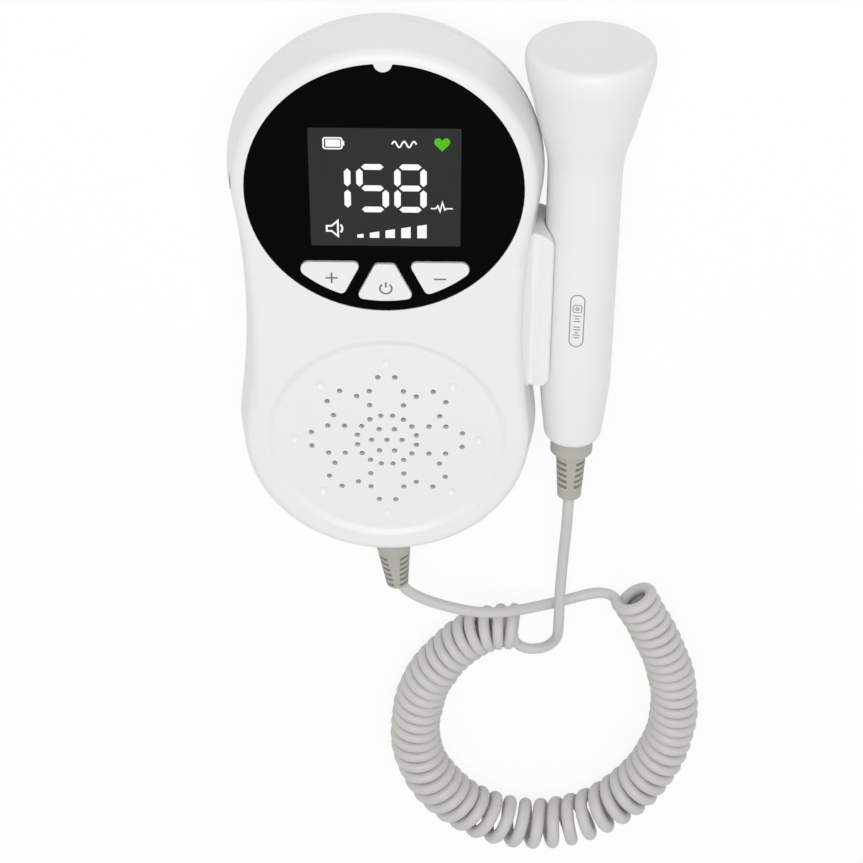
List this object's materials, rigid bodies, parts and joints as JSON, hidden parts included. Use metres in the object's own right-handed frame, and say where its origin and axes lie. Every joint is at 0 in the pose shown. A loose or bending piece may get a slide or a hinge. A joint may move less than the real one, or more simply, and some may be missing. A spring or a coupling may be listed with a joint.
{
  "type": "fetal doppler monitor",
  "caption": "Hand-held fetal doppler: display, three keys and loudspeaker in a waisted two-shell body, docked probe, curly cord, sliding battery door.",
  "frame": {"origin": "on the flat rear face, in the monitor's mid-plane, midway between the display lobe and the speaker lobe", "axes": "+X to the side with the probe cradle, +Y to the head end with the display, +Z out of the display"},
  "size_m": [0.1396, 0.3021, 0.0339],
  "materials": {
    "white_shell": "smooth satin-gloss white",
    "probe_head": "smooth satin white",
    "white_keys": "satin white with grey symbols",
    "black_window": "polished black with a dark clear display area",
    "display_panel": "polished",
    "dark_plastic": "matt black",
    "light_guide": "milky",
    "circuit_board": "green solder mask",
    "plated_steel": "nickel plated",
    "speaker_steel": "black passivated",
    "ferrite": "matt sintered",
    "speaker_paper": "matt pressed paper",
    "foam_rubber": "matt foam",
    "cell_sleeve": "plain printed sleeve",
    "magnet_nickel": "bright nickel",
    "piezo_ceramic": "fired ceramic with silvered faces",
    "backing_rubber": "matt potting",
    "grey_rubber": "matt moulded",
    "grey_cord": "satin moulded"
  },
  "bodies": {
    "main": {"front_housing": "white_shell", "rear_housing": "white_shell", "display_window": "black_window", "lcd_module": "display_panel", "lcd_frame": "dark_plastic", "backlight_panel": "light_guide", "main_board": "circuit_board", "board_chips": "dark_plastic", "key_switches": "dark_plastic", "headphone_jack": "dark_plastic", "board_screws": "plated_steel", "housing_screws": "plated_steel", "speaker_gasket": "foam_rubber", "speaker_frame": "speaker_steel", "speaker_magnet": "ferrite", "speaker_cone": "speaker_paper", "speaker_screws": "plated_steel", "battery_cells": "cell_sleeve", "battery_springs": "plated_steel", "battery_contacts": "plated_steel", "dock_magnets": "magnet_nickel", "main_strain_relief": "grey_rubber", "cord_main": "grey_cord", "cord_coil": "grey_cord", "cord_probe": "grey_cord"},
    "probe": {"probe_handle": "white_shell", "probe_head_cap": "probe_head", "transducer_crystals": "piezo_ceramic", "transducer_backing": "backing_rubber", "probe_board": "circuit_board", "probe_keeper_plate": "plated_steel", "probe_strain_relief": "grey_rubber"},
    "volume_up_button": {"volume_up_button": "white_keys"},
    "power_button": {"power_button": "white_keys"},
    "volume_down_button": {"volume_down_button": "white_keys"},
    "battery_door": {"battery_door": "white_shell"}
  },
  "joints": [
    {"name": "volume_up_press", "type": "slide", "parent": "main", "child": "volume_up_button", "axis": [0, 0, -1], "range_m": [0, 0.0005], "stiffness_N_per_m": 1500, "springref_m": -0.0002},
    {"name": "power_press", "type": "slide", "parent": "main", "child": "power_button", "axis": [0, 0, -1], "range_m": [0, 0.0005], "stiffness_N_per_m": 1500, "springref_m": -0.0002},
    {"name": "volume_down_press", "type": "slide", "parent": "main", "child": "volume_down_button", "axis": [0, 0, -1], "range_m": [0, 0.0005], "stiffness_N_per_m": 1500, "springref_m": -0.0002},
    {"name": "probe_undock", "type": "slide", "parent": "main", "child": "probe", "axis": [1, 0, 0], "range_m": [0, 0.04]},
    {"name": "battery_door_slide", "type": "slide", "parent": "main", "child": "battery_door", "axis": [0, 1, 0], "range_m": [0, 0.07]}
  ]
}
